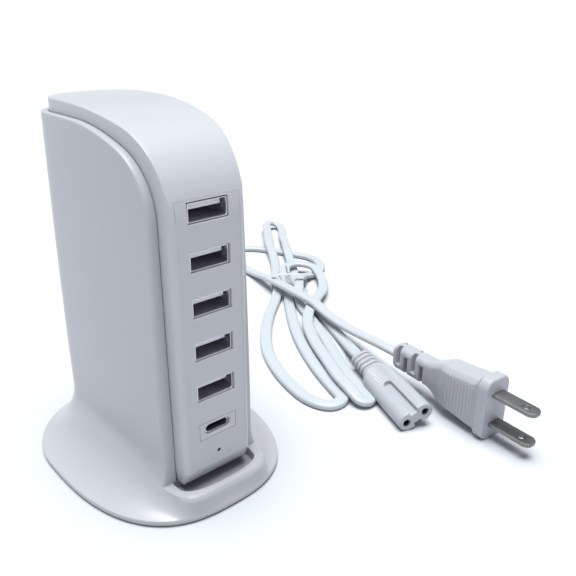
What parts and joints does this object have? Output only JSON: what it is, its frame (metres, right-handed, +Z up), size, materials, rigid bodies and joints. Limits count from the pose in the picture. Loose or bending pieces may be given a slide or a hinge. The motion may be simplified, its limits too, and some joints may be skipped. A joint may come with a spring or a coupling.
{
  "type": "multi port usb desktop charger",
  "caption": "White tower desktop charger: arched housing in a flared shell on an oval foot, a column of USB ports in front, mains inlet behind, and a tied mains lead with plug beside it",
  "frame": {"origin": "centre of the charger's own footprint on the table, lead left out", "axes": "+Z up, ports face -Y, +X to the right seen from behind the ports looking along +Y"},
  "size_m": [0.2386, 0.2712, 0.125],
  "materials": {
    "gloss_white": "glossy moulded",
    "panel_white": "satin moulded",
    "base_white": "fine matt moulded",
    "port_steel": "nickel plated sheet",
    "tongue_plastic": "moulded",
    "black_plastic": "moulded",
    "contact_gold": "plated",
    "contact_brass": "rolled",
    "light_pipe": "clear moulded",
    "board_green": "solder resist",
    "ferrite": "sintered ferrite with yellow tape",
    "capacitor_sleeve": "shrink sleeve",
    "choke_winding": "enamelled wire",
    "bare_aluminium": "extruded",
    "nickel": "nickel plated",
    "soft_grey": "soft pad",
    "lead_white": "soft vinyl",
    "tie_wire": "coated wire"
  },
  "bodies": {
    "root": {"outer_shell": "gloss_white", "core_housing": "gloss_white", "front_panel": "panel_white", "usb_c_bezel": "panel_white", "usb_a_shell_1": "port_steel", "usb_a_shell_2": "port_steel", "usb_a_shell_3": "port_steel", "usb_a_shell_4": "port_steel", "usb_a_shell_5": "port_steel", "usb_a_tongue_1": "tongue_plastic", "usb_a_tongue_2": "tongue_plastic", "usb_a_tongue_3": "tongue_plastic", "usb_a_tongue_4": "tongue_plastic", "usb_a_tongue_5": "tongue_plastic", "usb_c_shell": "port_steel", "usb_c_tongue": "black_plastic", "port_contacts": "contact_gold", "status_light": "light_pipe", "port_board": "board_green", "mains_board": "board_green", "transformer": "ferrite", "bulk_capacitors": "capacitor_sleeve", "line_choke": "choke_winding", "heat_sink": "bare_aluminium", "board_link": "black_plastic", "ac_inlet": "black_plastic", "inlet_pins": "nickel", "base_cover": "base_white", "rubber_feet": "soft_grey", "base_screws": "nickel", "core_screws": "nickel", "lead_cord": "lead_white", "lead_connector": "lead_white", "connector_contacts": "contact_brass", "plug_body": "lead_white", "plug_blades": "nickel", "twist_tie": "tie_wire"}
  },
  "joints": []
}
